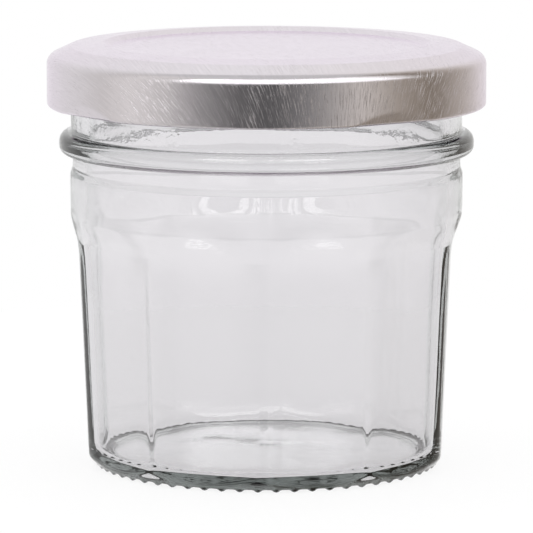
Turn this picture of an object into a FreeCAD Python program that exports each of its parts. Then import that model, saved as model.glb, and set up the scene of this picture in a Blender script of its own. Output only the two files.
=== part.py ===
import FreeCAD, Part
import os
from math import atan2, cos, hypot, pi, sin, tan
from types import SimpleNamespace

import Sketcher
from FreeCAD import Placement, Rotation, Vector

# A clear ten-sided glass jar, closed with a twist-off lid of tinplate.
#
# The frame: Z is up along the jar's axis, and the origin is the centre of the foot, on the table.
# One corner of the decagon looks along -Y, so a flat side looks along +X and another along -X.
# Every size is in millimetres, and every angle is in degrees.

SIZES = (
    # the ten flat sides, and the smooth band above them
    ("facet_count", 10, "flat sides of the body"),
    ("band_radius", 38.3, "smooth band above the flat sides"),
    ("band_height", 8.2, "height of the band"),
    ("flat_depth", 2.05, "band to the middle of a flat side, at the top of the body"),
    ("corner_depth", 0.55, "band to a softened corner, at the top of the body"),
    ("body_taper", 1.9, "how much nearer the axis the flat sides are at the table"),
    ("body_height", 44.6, "table to the top of the flat sides"),
    ("ledge_height", 4.6, "rise of the sloping ledge above each flat side"),
    ("ledge_foot_round", 1.6, "hollow round at the lower edge of the ledge"),
    ("ledge_head_round", 3.2, "full round at the upper edge of the ledge"),
    # the groove, the bead and the neck
    ("waist_depth", 0.3, "neck to the bottom of the groove below the bead"),
    ("waist_height", 4.1, "band to bead"),
    ("neck_radius", 38.15, "finish above the bead"),
    ("bead_depth", 2.3, "how far the transfer bead stands out of the neck"),
    ("bead_height", 4.1, "height of the bead"),
    ("bead_round", 1.9, "full round of the bead's two edges"),
    ("finish_height", 15.4, "bead to the rim"),
    ("rim_outer_round", 1.1, "outer edge of the rim"),
    ("rim_inner_round", 1.3, "inner edge of the rim"),
    # the heel and the foot
    ("heel_height", 2.6, "table to the corner of the heel"),
    ("heel_round", 2.2, "full round of the heel"),
    ("heel_inset", 0.65, "flat side at the table to the bearing ring"),
    ("ring_width", 2.9, "width of the bearing ring"),
    ("punt_depth", 0.9, "rise of the underside above the bearing ring"),
    ("punt_round", 3.0, "round at the edge of the hollow underside"),
    ("tooth_count", 60, "knurl teeth on the bearing ring"),
    ("tooth_height", 0.5, "height of a knurl tooth"),
    ("tooth_root", 1.9, "width of a knurl tooth at the ring"),
    ("tooth_tip", 0.5, "width of a knurl tooth where it stands on the table"),
    ("tooth_inset", 0.3, "tooth's two ends from the edges of the ring"),
    # the wall
    ("wall", 2.6, "glass behind the middle of a flat side"),
    ("corner_wall", 2.8, "glass behind a softened corner"),
    ("band_wall", 3.1, "glass behind the band"),
    ("neck_wall", 3.35, "glass behind the neck"),
    ("floor_height", 2.6, "table to the inside of the floor, at the walls"),
    ("floor_dome", 1.5, "rise of the floor from the walls to the middle"),
    ("floor_round", 2.0, "round between the floor and the walls"),
    ("inner_round", 6.0, "rounds of the inside wall"),
    # the thread: four short ribs round the neck
    ("start_count", 4, "thread ribs, and lugs on the lid"),
    ("thread_depth", 2.1, "how far a rib stands out of the neck"),
    ("thread_root", 2.4, "height of a rib at the neck"),
    ("thread_crest", 1.1, "height of a rib at its outer edge"),
    ("thread_sweep", 68.0, "angle that one rib goes round"),
    ("thread_rise", 1.9, "rise of one rib from end to end"),
    # the lid, which is sized from the neck that it closes
    ("plate", 0.22, "thickness of the lacquered tinplate"),
    ("skirt_gap", 2.33, "thread to the inside of the skirt"),
    ("lid_height", 12.2, "bottom of the curl to the top of the ridge"),
    ("ridge_overhang", 0.05, "neck to the outer edge of the raised ridge"),
    ("ridge_width", 6.2, "width of the raised ridge"),
    ("ridge_rise", 0.5, "rise of the ridge from its outer to its inner edge"),
    ("ridge_round", 0.6, "rounds of the ridge and the step"),
    ("step_width", 0.8, "ridge to the sunk centre panel"),
    ("panel_depth", 0.8, "drop from the top of the ridge to the centre panel"),
    ("shoulder_drop", 2.1, "ridge's outer edge to the edge between top and skirt"),
    ("shoulder_round", 2.2, "round between top and skirt"),
    ("curl", 1.5, "thickness and height of the rolled lower edge"),
    # the sealing compound in the lid's channel
    ("compound", 1.1, "compound between the rim and the lid's ridge"),
    ("compound_inset", 0.9, "inside of the neck to the inner edge of the compound"),
    ("compound_overhang", 2.05, "neck to the outer edge of the compound"),
    # the lugs: four places where the rolled edge is pressed in under the thread
    ("lug_turn", 37.8, "from the +X axis to the middle of the first lug"),
    ("lug_span", 26.0, "angle that one lug takes of the edge"),
    ("lug_rise", 2.5, "height of the pressed-in place"),
    ("lug_clearance", 1.35, "neck to the inner edge of a lug"),
    ("lug_thickness", 1.1, "thickness of the pressed lug"),
    ("lug_gap", 0.25, "lug to the rib above it"),
)

ON_AXIS = None
SKIN = 0.05  # keeps two faces from lying exactly in one place


class Bound:
    """A number that also knows the spreadsheet expression it comes from."""

    def __init__(self, value, text):
        self.value = value
        self.text = text

    def joined(self, sign, other, value):
        return Bound(value, f"({self.text} {sign} {getattr(other, 'text', other)})")

    def __add__(self, other):
        return self.joined("+", other, self.value + getattr(other, "value", other))

    def __sub__(self, other):
        return self.joined("-", other, self.value - getattr(other, "value", other))

    def __mul__(self, other):
        return self.joined("*", other, self.value * getattr(other, "value", other))

    def __truediv__(self, other):
        return self.joined("/", other, self.value / getattr(other, "value", other))


def sine(angle):
    """The sine of a bound angle, as another bound number."""
    return Bound(sin(angle.value * pi / 180), f"sin({angle.text} * 1 deg)")


def make_sheet(doc):
    """Writes the driving sizes to a spreadsheet, and returns them as bound numbers."""
    sheet = doc.addObject("Spreadsheet::Sheet", "Sizes")
    bound = {}
    for row, (alias, number, meaning) in enumerate(SIZES, start=1):
        sheet.set(f"A{row}", alias)
        sheet.set(f"B{row}", str(number))
        sheet.set(f"C{row}", meaning)
        sheet.setAlias(f"B{row}", alias)
        bound[alias] = Bound(number, f"Sizes.{alias}")
    doc.recompute()
    return SimpleNamespace(**bound)


# Outlines --------------------------------------------------------------------------------------


def origin_feature(body, role):
    return next(item for item in body.Origin.OriginFeatures if item.Role == role)


def new_sketch(body, name, role, turn=None, offset=None):
    """A sketch on one of the body's own planes, turned about its upright axis or moved off it."""
    sketch = body.newObject("Sketcher::SketchObject", name)
    sketch.AttachmentSupport = (origin_feature(body, role), [""])
    sketch.MapMode = "FlatFace"
    if turn:
        sketch.AttachmentOffset = Placement(Vector(), Rotation(Vector(0, 1, 0), turn.value))
        sketch.setExpression("AttachmentOffset.Rotation.Angle", turn.text)
    if offset:
        sketch.AttachmentOffset = Placement(Vector(0, 0, offset.value), Rotation())
        sketch.setExpression("AttachmentOffset.Base.z", offset.text)
    return sketch


def bind(sketch, kind, places, size):
    """Adds a dimension that follows the spreadsheet."""
    index = sketch.addConstraint(Sketcher.Constraint(kind, *places, size.value))
    sketch.setExpression(f"Constraints[{index}]", size.text)


def pin(sketch, geometry, end, across, up):
    """Fixes a point by its two distances from the sketch's origin."""
    if across is ON_AXIS:
        sketch.addConstraint(Sketcher.Constraint("PointOnObject", geometry, end, -2))
    else:
        bind(sketch, "DistanceX", (-1, 1, geometry, end), across)
    bind(sketch, "DistanceY", (-1, 1, geometry, end), up)


def rounding_ends(before, corner, after, radius):
    """Where a round of this radius meets the two lines of a corner, and its centre."""
    back, ahead = before - corner, after - corner
    back.normalize()
    ahead.normalize()
    half = back.getAngle(ahead) / 2
    reach = radius / tan(half)
    middle = back + ahead
    middle.normalize()
    return corner + back * reach, corner + ahead * reach, corner + middle * (radius / sin(half))


def draw_outline(sketch, corners):
    """Draws a closed outline of straight lines whose corners may be rounded.

    Each corner is (across, up) or (across, up, round), in bound numbers. A rounded corner keeps a
    construction point at its sharp place, so the lines stay where the sizes put them.
    """
    spots = [Vector(c[0].value if c[0] else 0, c[1].value, 0) for c in corners]
    count = len(corners)
    ends = []
    for i, corner in enumerate(corners):
        if len(corner) == 3:
            ends.append(rounding_ends(spots[i - 1], spots[i], spots[(i + 1) % count], corner[2].value))
        else:
            ends.append((spots[i], spots[i], None))
    lines = [
        sketch.addGeometry(Part.LineSegment(ends[i][1], ends[(i + 1) % count][0]), False)
        for i in range(count)
    ]
    for i, corner in enumerate(corners):
        before, after = lines[i - 1], lines[i]
        if ends[i][2] is None:
            sketch.addConstraint(Sketcher.Constraint("Coincident", before, 2, after, 1))
            pin(sketch, after, 1, corner[0], corner[1])
            continue
        start, finish, centre = ends[i]
        turns_left = (spots[i] - start).cross(finish - spots[i]).z > 0
        first, last = (start, finish) if turns_left else (finish, start)
        angles = [atan2(p.y - centre.y, p.x - centre.x) for p in (first, last)]
        circle = Part.Circle(centre, Vector(0, 0, 1), corner[2].value)
        arc = sketch.addGeometry(Part.ArcOfCircle(circle, *angles), False)
        sharp = sketch.addGeometry(Part.Point(spots[i]), True)
        sketch.addConstraint(Sketcher.Constraint("Tangent", before, 2, arc, 1 if turns_left else 2))
        sketch.addConstraint(Sketcher.Constraint("Tangent", after, 1, arc, 2 if turns_left else 1))
        sketch.addConstraint(Sketcher.Constraint("PointOnObject", sharp, 1, before))
        sketch.addConstraint(Sketcher.Constraint("PointOnObject", sharp, 1, after))
        bind(sketch, "Radius", (arc,), corner[2])
        pin(sketch, sharp, 1, corner[0], corner[1])


# Features --------------------------------------------------------------------------------------


def new_body(doc, name):
    return doc.addObject("PartDesign::Body", name)


def turned(body, name, corners):
    """A full turn of an outline about the Z axis."""
    sketch = new_sketch(body, f"{name}_outline", "XZ_Plane")
    draw_outline(sketch, corners)
    body.Document.recompute()
    feature = body.newObject("PartDesign::Revolution", name)
    feature.Profile = sketch
    feature.ReferenceAxis = (sketch, ["V_Axis"])
    feature.Angle = 360
    body.Document.recompute()
    return feature


def repeated(body, name, feature, count):
    """The same feature, evenly spaced round the Z axis."""
    pattern = body.newObject("PartDesign::PolarPattern", name)
    pattern.Originals = [feature]
    pattern.Axis = (origin_feature(body, "Z_Axis"), [""])
    pattern.Angle = 360
    pattern.Occurrences = int(count.value)
    pattern.setExpression("Occurrences", count.text)
    body.Tip = pattern
    body.Document.recompute()
    return pattern


def shaved(body, name, corners, length, count, turn=None):
    """Planes milled off all round: a symmetric pocket of this length, repeated round the Z axis."""
    before = body.Shape.Volume
    sketch = new_sketch(body, f"{name}_outline", "XZ_Plane", turn=turn)
    draw_outline(sketch, corners)
    body.Document.recompute()
    pocket = body.newObject("PartDesign::Pocket", name)
    pocket.Profile = sketch
    pocket.SideType = "Symmetric"
    pocket.Length = length.value
    pocket.setExpression("Length", length.text)
    body.Document.recompute()
    repeated(body, f"{name}_ring", pocket, count)
    if not body.Shape.Volume < before:
        raise RuntimeError(f"{name} cuts nothing")


# The jar ---------------------------------------------------------------------------------------


def jar_levels(z):
    """Heights above the table, and distances from the axis, that several features share."""
    ledge_head = z.body_height + z.ledge_height
    band_head = ledge_head + z.band_height
    bead_foot = band_head + z.waist_height
    bead_head = bead_foot + z.bead_height
    shoulder_flat = z.band_radius - z.flat_depth
    shoulder_corner = z.band_radius - z.corner_depth
    foot_flat = shoulder_flat - z.body_taper
    ring_outer = foot_flat - z.heel_inset
    return SimpleNamespace(
        ledge_head=ledge_head,
        band_head=band_head,
        bead_foot=bead_foot,
        bead_head=bead_head,
        rim=bead_head + z.finish_height,
        shoulder_flat=shoulder_flat,
        shoulder_corner=shoulder_corner,
        foot_flat=foot_flat,
        heel_corner=shoulder_corner - z.body_taper * (z.body_height - z.heel_height) / z.body_height,
        ring_outer=ring_outer,
        ring_inner=ring_outer - z.ring_width,
        waist=z.neck_radius - z.waist_depth,
        bore=z.neck_radius - z.neck_wall,
    )


def flat_side(slope, top, head, foot_round, head_round):
    """What a flat side takes away: beyond a sloping plane, then out along the ledge above it.

    slope is the plane's distance from the axis at the table and at the ledge; top and head are
    the heights of the ledge's lower and upper edges, and head's distance from the axis.
    """
    foot, shoulder = slope
    outside, ledge_head = head
    below = Bound(-1, "-1")
    lean = (shoulder - foot) / top
    return (
        (foot + lean * below, below),
        (shoulder, top, foot_round),
        (outside, ledge_head, head_round),
        (outside, ledge_head + 2),
        (outside + 8, ledge_head + 2),
        (outside + 8, below),
    )


def add_teeth(body, z, level):
    """The knurl that the jar stands on: radial ridges whose flat tips lie on the table."""
    sketch = new_sketch(body, "tooth_outline", "YZ_Plane", offset=level.ring_inner + z.tooth_inset)
    half_tip, half_root = z.tooth_tip / 2, z.tooth_root / 2
    table, inside = z.tooth_height * 0, z.tooth_height * 1.5
    draw_outline(
        sketch,
        (
            (half_tip * -1, table),
            (half_tip, table),
            (half_root, z.tooth_height),
            (half_root, inside),
            (half_root * -1, inside),
            (half_root * -1, z.tooth_height),
        ),
    )
    body.Document.recompute()
    tooth = body.newObject("PartDesign::Pad", "tooth")
    tooth.Profile = sketch
    length = z.ring_width - z.tooth_inset * 2
    tooth.Length = length.value
    tooth.setExpression("Length", length.text)
    body.Document.recompute()
    repeated(body, "knurl", tooth, z.tooth_count)


def add_thread(body, z, lug_top):
    """Short ribs that climb round the neck, each passing just over one lug of the closed lid."""
    start = z.lug_turn - z.thread_sweep / 3
    rise_before_lug = z.thread_rise * (z.thread_sweep / 3 - z.lug_span / 2) / z.thread_sweep
    middle = lug_top + z.lug_gap + z.thread_crest / 2 - rise_before_lug
    inside, outside = z.neck_radius - z.thread_depth / 4, z.neck_radius + z.thread_depth
    sketch = new_sketch(body, "thread_outline", "XZ_Plane", turn=start)
    draw_outline(
        sketch,
        (
            (inside, middle - z.thread_root / 2),
            (outside, middle - z.thread_crest / 2),
            (outside, middle + z.thread_crest / 2),
            (inside, middle + z.thread_root / 2),
        ),
    )
    body.Document.recompute()
    rib = body.newObject("PartDesign::AdditiveHelix", "thread")
    rib.Profile = sketch
    rib.ReferenceAxis = (sketch, ["V_Axis"])
    rib.Mode = "pitch-height-angle"
    pitch = z.thread_rise / z.thread_sweep * 360
    rib.Pitch = pitch.value
    rib.setExpression("Pitch", pitch.text)
    rib.Height = z.thread_rise.value
    rib.setExpression("Height", z.thread_rise.text)
    rib.Angle = 0
    body.Document.recompute()
    repeated(body, "threads", rib, z.start_count)


def side_width(z):
    """A length that reaches past both ends of one flat side."""
    return z.band_radius * sine(Bound(180, "180") / z.facet_count) * 3


def make_jar_blank(doc, z, level, lug_top):
    """The outside of the glass, as one solid block."""
    body = new_body(doc, "jar_blank")
    underside = z.tooth_height + z.punt_depth
    bead = z.neck_radius + z.bead_depth
    turned(
        body,
        "blank",
        (
            (ON_AXIS, underside),
            (level.ring_inner - z.punt_depth * 2, underside, z.punt_round),
            (level.ring_inner, z.tooth_height),
            (level.ring_outer, z.tooth_height, z.heel_round / 2),
            (level.heel_corner, z.heel_height, z.heel_round),
            (level.shoulder_corner, z.body_height, z.ledge_foot_round),
            (z.band_radius, level.ledge_head, z.ledge_head_round),
            (z.band_radius, level.band_head, z.ledge_foot_round),
            (level.waist, level.band_head + z.waist_height / 3, z.ledge_foot_round),
            (level.waist, level.bead_foot),
            (bead, level.bead_foot, z.bead_round),
            (bead, level.bead_head, z.bead_round),
            (z.neck_radius, level.bead_head),
            (z.neck_radius, level.rim, z.rim_outer_round),
            (ON_AXIS, level.rim),
        ),
    )
    # the planes stop short of the band, which stays round
    outline = flat_side(
        (level.foot_flat, level.shoulder_flat),
        z.body_height,
        (z.band_radius + SKIN, level.ledge_head),
        z.ledge_foot_round,
        z.ledge_head_round,
    )
    shaved(body, "flat_side", outline, side_width(z), z.facet_count)
    add_teeth(body, z, level)
    add_thread(body, z, lug_top)
    return body


def make_jar_hollow(doc, z, level):
    """The space inside the jar, up to just above its rim."""
    body = new_body(doc, "jar_hollow")
    band = z.band_radius - z.band_wall
    mouth = level.bore + z.rim_inner_round + 0.5
    turned(
        body,
        "hollow",
        (
            (ON_AXIS, z.floor_height + z.floor_dome),
            (level.heel_corner - z.corner_wall, z.floor_height, z.floor_round),
            (level.shoulder_corner - z.corner_wall, z.body_height, z.inner_round),
            (band, level.ledge_head, z.inner_round),
            (band, level.band_head, z.inner_round),
            (level.bore, level.bead_foot, z.inner_round),
            (level.bore, level.rim, z.rim_inner_round),
            (mouth, level.rim),
            (mouth, level.rim + 2),
            (ON_AXIS, level.rim + 2),
        ),
    )
    outline = flat_side(
        (level.foot_flat - z.wall, level.shoulder_flat - z.wall),
        z.body_height,
        (band + SKIN, level.ledge_head),
        z.inner_round,
        z.inner_round,
    )
    shaved(body, "inner_side", outline, side_width(z), z.facet_count)
    return body


# The lid ---------------------------------------------------------------------------------------


def lid_levels(z, rim, bore):
    """Heights above the table, and distances from the axis, that several features share."""
    ridge = rim + z.compound + z.plate
    crest = ridge + z.ridge_rise
    foot = crest - z.lid_height
    inside = z.neck_radius + z.thread_depth + z.skirt_gap
    ridge_outer = z.neck_radius + z.ridge_overhang
    ridge_inner = ridge_outer - z.ridge_width
    return SimpleNamespace(
        rim=rim,
        ridge=ridge,
        crest=crest,
        panel=crest - z.panel_depth,
        shoulder=ridge - z.shoulder_drop,
        foot=foot,
        below=foot - 1,
        lug_top=foot + z.lug_thickness,
        lug_head=foot + z.lug_rise,
        inside=inside,
        skirt=inside + z.plate,
        ridge_outer=ridge_outer,
        ridge_inner=ridge_inner,
        panel_edge=ridge_inner - z.step_width,
        compound_inner=bore + z.compound_inset,
        compound_outer=z.neck_radius + z.compound_overhang,
        lug_half=sine(z.lug_span / 2) * (inside + z.plate),
    )


def make_lid_block(doc, z, level):
    """The outside of the lid, as one solid block: sunk panel, ridge, round shoulder and skirt."""
    body = new_body(doc, "lid_block")
    turned(
        body,
        "block",
        (
            (ON_AXIS, level.foot),
            (level.skirt, level.foot, z.curl / 2),
            (level.skirt, level.shoulder, z.shoulder_round),
            (level.ridge_outer, level.ridge, z.ridge_round),
            (level.ridge_inner, level.crest, z.ridge_round / 2),
            (level.panel_edge, level.panel, z.ridge_round),
            (ON_AXIS, level.panel),
        ),
    )
    # a flat tool presses the edge in: its plane leans from the skirt down to a chord at the foot
    chord = level.skirt - level.lug_half * level.lug_half / level.skirt / 2
    lean = (level.skirt - chord) / z.lug_rise
    outline = (
        (chord - lean, level.below),
        (level.skirt + lean, level.lug_head + 1),
        (level.skirt + 5, level.lug_head + 1),
        (level.skirt + 5, level.below),
    )
    shaved(body, "press", outline, level.lug_half * 3, z.start_count, turn=z.lug_turn)
    return body


def make_lid_hollow(doc, z, level):
    """The space inside the lid, under the panel, the ridge, the compound and the shoulder."""
    body = new_body(doc, "lid_hollow")
    ceiling = level.panel - z.plate
    roll = level.skirt - z.curl
    # under the ridge the sheet is one plate thick; the compound fills its outer half
    slope = z.ridge_rise / z.ridge_width
    edge = level.compound_inner - z.compound
    under = level.ridge + (level.ridge_outer - edge) * slope - z.plate
    tuck = z.plate / 2
    turned(
        body,
        "hollow_turn",
        (
            (ON_AXIS, level.below),
            (roll, level.below),
            (roll, level.foot + z.curl),
            (level.inside, level.foot + z.curl),
            (level.inside, level.shoulder - z.plate, z.shoulder_round - z.plate),
            (level.compound_outer, level.rim),
            (level.compound_inner, level.rim),
            (edge, under),
            (level.ridge_inner + tuck, level.crest - z.plate),
            (level.panel_edge + tuck, ceiling),
            (ON_AXIS, ceiling),
        ),
    )
    # the pressed lug is left standing in the hollow, folded double behind the leaning wall
    reach = z.neck_radius + z.lug_clearance
    outline = (
        (reach, level.below),
        (reach, level.lug_top),
        (level.inside - z.plate * 4, level.lug_top),
        (level.inside, level.lug_head + z.plate),
        (level.inside + 2, level.lug_head + z.plate),
        (level.inside + 2, level.below),
    )
    shaved(body, "lug", outline, level.lug_half * 2, z.start_count, turn=z.lug_turn)
    return body


# The whole -------------------------------------------------------------------------------------


def hollowed(doc, label, block, hollow):
    """A block less its hollow, as one sub-part."""
    part = doc.addObject("Part::Cut", label)
    part.Base = block
    part.Tool = hollow
    part.Label = label
    part.Placement = Placement(Vector(0, 0, 0), Rotation())
    doc.recompute()
    return part


def check(doc, parts):
    """Stops before anything is written if a feature failed or a sub-part isn't one valid solid."""
    failed = [item.Label for item in doc.Objects if {"Invalid", "Error"} & set(item.State)]
    if failed:
        raise RuntimeError(f"failed objects: {failed}")
    for part in parts:
        shape = part.Shape
        if shape.isNull() or not shape.isValid() or len(shape.Solids) != 1:
            raise RuntimeError(f"{part.Label} isn't one valid solid")


def main():
    doc = FreeCAD.newDocument("jam_jar")
    z = make_sheet(doc)
    jar_level = jar_levels(z)
    lid_level = lid_levels(z, jar_level.rim, jar_level.bore)
    jar_blank = make_jar_blank(doc, z, jar_level, lid_level.lug_top)
    jar = hollowed(doc, "jar", jar_blank, make_jar_hollow(doc, z, jar_level))
    lid = hollowed(doc, "lid", make_lid_block(doc, z, lid_level), make_lid_hollow(doc, z, lid_level))
    check(doc, (jar, lid))
    os.makedirs("parts", exist_ok=True)
    for part in (jar, lid):
        part.Shape.exportStep(f"parts/{part.Label}.step")
        print(f"{part.Label}: {part.Shape.Volume:.0f} mm3")


main()
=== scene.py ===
import logging
from dataclasses import dataclass, field
from enum import Enum
from math import ceil, cos, hypot, pi, radians, sin, tan
from typing import NamedTuple, Sequence

import bpy
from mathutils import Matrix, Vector


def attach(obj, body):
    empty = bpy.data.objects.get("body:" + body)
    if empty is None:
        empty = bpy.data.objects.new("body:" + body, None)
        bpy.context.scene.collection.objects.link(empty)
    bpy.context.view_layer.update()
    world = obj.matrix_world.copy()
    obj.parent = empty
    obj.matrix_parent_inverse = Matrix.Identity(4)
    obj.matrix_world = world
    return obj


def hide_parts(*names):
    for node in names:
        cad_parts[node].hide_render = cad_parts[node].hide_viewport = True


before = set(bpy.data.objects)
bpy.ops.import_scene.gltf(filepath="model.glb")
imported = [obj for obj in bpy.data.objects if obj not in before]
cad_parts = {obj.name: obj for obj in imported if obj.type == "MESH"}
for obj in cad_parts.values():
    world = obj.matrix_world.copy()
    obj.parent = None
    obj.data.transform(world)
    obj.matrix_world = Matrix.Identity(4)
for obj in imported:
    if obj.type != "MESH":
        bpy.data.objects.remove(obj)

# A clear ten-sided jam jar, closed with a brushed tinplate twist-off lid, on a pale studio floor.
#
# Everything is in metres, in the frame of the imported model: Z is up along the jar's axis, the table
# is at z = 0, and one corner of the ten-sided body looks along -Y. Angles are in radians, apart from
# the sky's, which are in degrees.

LOG = logging.getLogger("jam_jar")
MM = 0.001
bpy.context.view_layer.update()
FRONT = -pi / 2  # the direction of -Y, as an angle from +X


# Outlines and turning --------------------------------------------------------------------------


class Corner(NamedTuple):
    """One corner of an outline that is turned about the axis.

    out and up place it, bend is the radius that rounds it off, and step is the longest step
    between points on the straight stretch that follows it.
    """

    out: float
    up: float
    bend: float = 0.0
    step: float = 2.5 * MM


def soft_outline(corners: Sequence[Corner], turn_step: float) -> list[tuple[float, float]]:
    """Walks along an outline whose corners are rounded.

    Args:
        corners: The outline's corners, from one end on the axis to the other.
        turn_step: The most that the outline may turn from one point to the next on a round.

    Returns:
        The points (out, up), with both ends of every round and straight stretch among them.
    """
    path: list[tuple[Vector, float]] = []
    for place, corner in enumerate(corners):
        spot = Vector((corner.out, corner.up))
        if not corner.bend:
            path.append((spot, corner.step))
            continue
        back = (Vector(corners[place - 1][:2]) - spot).normalized()
        ahead = (Vector(corners[place + 1][:2]) - spot).normalized()
        half = back.angle(ahead) / 2
        reach = corner.bend / tan(half)
        centre = spot + (back + ahead).normalized() * (corner.bend / sin(half))
        first, last = spot + back * reach - centre, spot + ahead * reach - centre
        turn = pi - 2 * half
        count = max(2, ceil(turn / turn_step))
        for tick in range(count + 1):
            share = tick / count
            arm = first * sin(turn * (1 - share)) + last * sin(turn * share)
            path.append((centre + arm / sin(turn), corner.step))
    points = []
    for (start, step), (end, _) in zip(path, path[1:]):
        pieces = max(1, ceil((end - start).length / step - 0.001))
        points += [tuple(start.lerp(end, tick / pieces)) for tick in range(pieces)]
    return points + [tuple(path[-1][0])]


def turned_mesh(name: str, outline: Sequence[tuple[float, float]], columns: int) -> bpy.types.Mesh:
    """Turns an outline about the axis into a closed, smooth mesh whose faces point outwards.

    Args:
        name: The mesh's name.
        outline: Points (out, up) that start and end on the axis and run anticlockwise.
        columns: How many points go round the axis. One of them looks along -Y.

    Returns:
        The mesh, with a single point at each pole.
    """
    rings = outline[1:-1]
    aims = [FRONT + 2 * pi * column / columns for column in range(columns)]
    spots = [(out * cos(aim), out * sin(aim), up) for out, up in rings for aim in aims]
    first_pole, last_pole = len(spots), len(spots) + 1
    spots += [(0.0, 0.0, outline[0][1]), (0.0, 0.0, outline[-1][1])]
    faces = []
    after = [(column + 1) % columns for column in range(columns)]
    top = (len(rings) - 1) * columns
    for column, following in enumerate(after):
        faces.append((first_pole, following, column))
        faces.append((last_pole, top + column, top + following))
    for ring in range(len(rings) - 1):
        low, high = ring * columns, (ring + 1) * columns
        for column, following in enumerate(after):
            faces.append((low + column, low + following, high + following, high + column))
    mesh = bpy.data.meshes.new(name)
    mesh.from_pydata(spots, [], faces)
    mesh.shade_smooth()
    return mesh


def mark_rings(mesh: bpy.types.Mesh, name: str, values: Sequence[float], columns: int) -> None:
    """Writes one number for each point of the outline to all the points turned from it.

    Args:
        mesh: A mesh made by turned_mesh.
        name: The attribute's name.
        values: One number for each point of the outline, poles included.
        columns: How many points go round the axis.
    """
    spread = [value for value in values[1:-1] for _ in range(columns)]
    layer = mesh.attributes.new(name, "FLOAT", "POINT")
    layer.data.foreach_set("value", spread + [values[0], values[-1]])


# Node trees ------------------------------------------------------------------------------------


class Term:
    """A number inside a node tree, which is worked with as a plain number is."""

    def __init__(self, bench: "Bench", socket: bpy.types.NodeSocket) -> None:
        """Keeps the bench that wires the tree, and the socket that the number comes out of."""
        self.bench = bench
        self.socket = socket

    def __add__(self, other: "Number") -> "Term":
        """Adds."""
        return self.bench.math("ADD", self, other)

    def __sub__(self, other: "Number") -> "Term":
        """Subtracts."""
        return self.bench.math("SUBTRACT", self, other)

    def __rsub__(self, other: float) -> "Term":
        """Subtracts this from a plain number."""
        return self.bench.math("SUBTRACT", other, self)

    def __mul__(self, other: "Number") -> "Term":
        """Multiplies."""
        return self.bench.math("MULTIPLY", self, other)

    def __truediv__(self, other: "Number") -> "Term":
        """Divides."""
        return self.bench.math("DIVIDE", self, other)

    def __abs__(self) -> "Term":
        """Drops the sign."""
        return self.bench.math("ABSOLUTE", self)

    def clamped(self) -> "Term":
        """Keeps the number between nought and one."""
        made = self.bench.math("ADD", self, 0.0)
        made.socket.node.use_clamp = True
        return made


Number = Term | float


class Bench:
    """Wires one node tree, with a short call for each thing that the trees here need."""

    def __init__(self, tree: bpy.types.NodeTree) -> None:
        """Keeps the tree."""
        self.tree = tree

    def node(self, kind: str, **settings: object) -> bpy.types.Node:
        """Adds a node and sets its options.

        Args:
            kind: The node's type name.
            settings: Options of the node, by their names.

        Returns:
            The node.
        """
        made = self.tree.nodes.new(kind)
        for name, value in settings.items():
            setattr(made, name, value)
        return made

    def feed(self, socket: bpy.types.NodeSocket, value: object) -> None:
        """Links a term or a socket to an input, or writes a plain value there.

        Args:
            socket: The input to feed.
            value: What goes into it.
        """
        source = value.socket if isinstance(value, Term) else value
        if isinstance(source, bpy.types.NodeSocket):
            self.tree.links.new(source, socket)
        else:
            socket.default_value = source

    def fill(self, node: bpy.types.Node, **values: object) -> bpy.types.Node:
        """Feeds a node's inputs, by their names with underscores for spaces.

        Args:
            node: The node to feed.
            values: What goes into each named input.

        Returns:
            The same node.
        """
        for name, value in values.items():
            self.feed(node.inputs[name.replace("_", " ")], value)
        return node

    def math(self, operation: str, *numbers: Number) -> Term:
        """Adds one step of arithmetic.

        Args:
            operation: The Math node's operation.
            numbers: What goes in, in the node's own order.

        Returns:
            The result.
        """
        made = self.node("ShaderNodeMath", operation=operation)
        for socket, number in zip(made.inputs, numbers):
            self.feed(socket, number)
        return Term(self, made.outputs[0])

    def parts(self, vector: bpy.types.NodeSocket) -> tuple[Term, Term, Term]:
        """Splits a vector.

        Args:
            vector: The socket that the vector comes out of.

        Returns:
            Its three numbers.
        """
        made = self.node("ShaderNodeSeparateXYZ")
        self.feed(made.inputs[0], vector)
        return tuple(Term(self, socket) for socket in made.outputs)

    def vector(self, *numbers: Number) -> bpy.types.NodeSocket:
        """Joins three numbers.

        Args:
            numbers: The three numbers.

        Returns:
            The socket that the vector comes out of.
        """
        made = self.node("ShaderNodeCombineXYZ")
        for socket, number in zip(made.inputs, numbers):
            self.feed(socket, number)
        return made.outputs[0]

    def ease(self, value: Number, start: Number, end: Number) -> Term:
        """Rises smoothly from nought to one.

        Args:
            value: What it goes by.
            start: The value where it is nought.
            end: The value where it is one.

        Returns:
            The result.
        """
        made = self.node("ShaderNodeMapRange", interpolation_type="SMOOTHSTEP")
        self.fill(made, Value=value, From_Min=start, From_Max=end)
        return Term(self, made.outputs[0])

    def blend(self, share: Number, low: Number, high: Number) -> Term:
        """Goes from one number to another.

        Args:
            share: How far it has gone, from nought to one.
            low: The number where the share is nought.
            high: The number where the share is one.

        Returns:
            The number between them.
        """
        made = self.node("ShaderNodeMapRange")
        self.fill(made, Value=share, To_Min=low, To_Max=high)
        return Term(self, made.outputs[0])

    def noise(self, place: object, scale: float, detail: float = 2.0, rough: float = 0.5) -> Term:
        """Adds a cloudy pattern.

        Args:
            place: The coordinates that it is laid out on.
            scale: How many clouds go to one unit.
            detail: How many finer layers it has.
            rough: How strong the finer layers are.

        Returns:
            A number about 0.5 that varies over the surface.
        """
        made = self.node("ShaderNodeTexNoise")
        self.fill(made, Vector=place, Scale=scale, Detail=detail, Roughness=rough)
        return Term(self, made.outputs[0])


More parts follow.
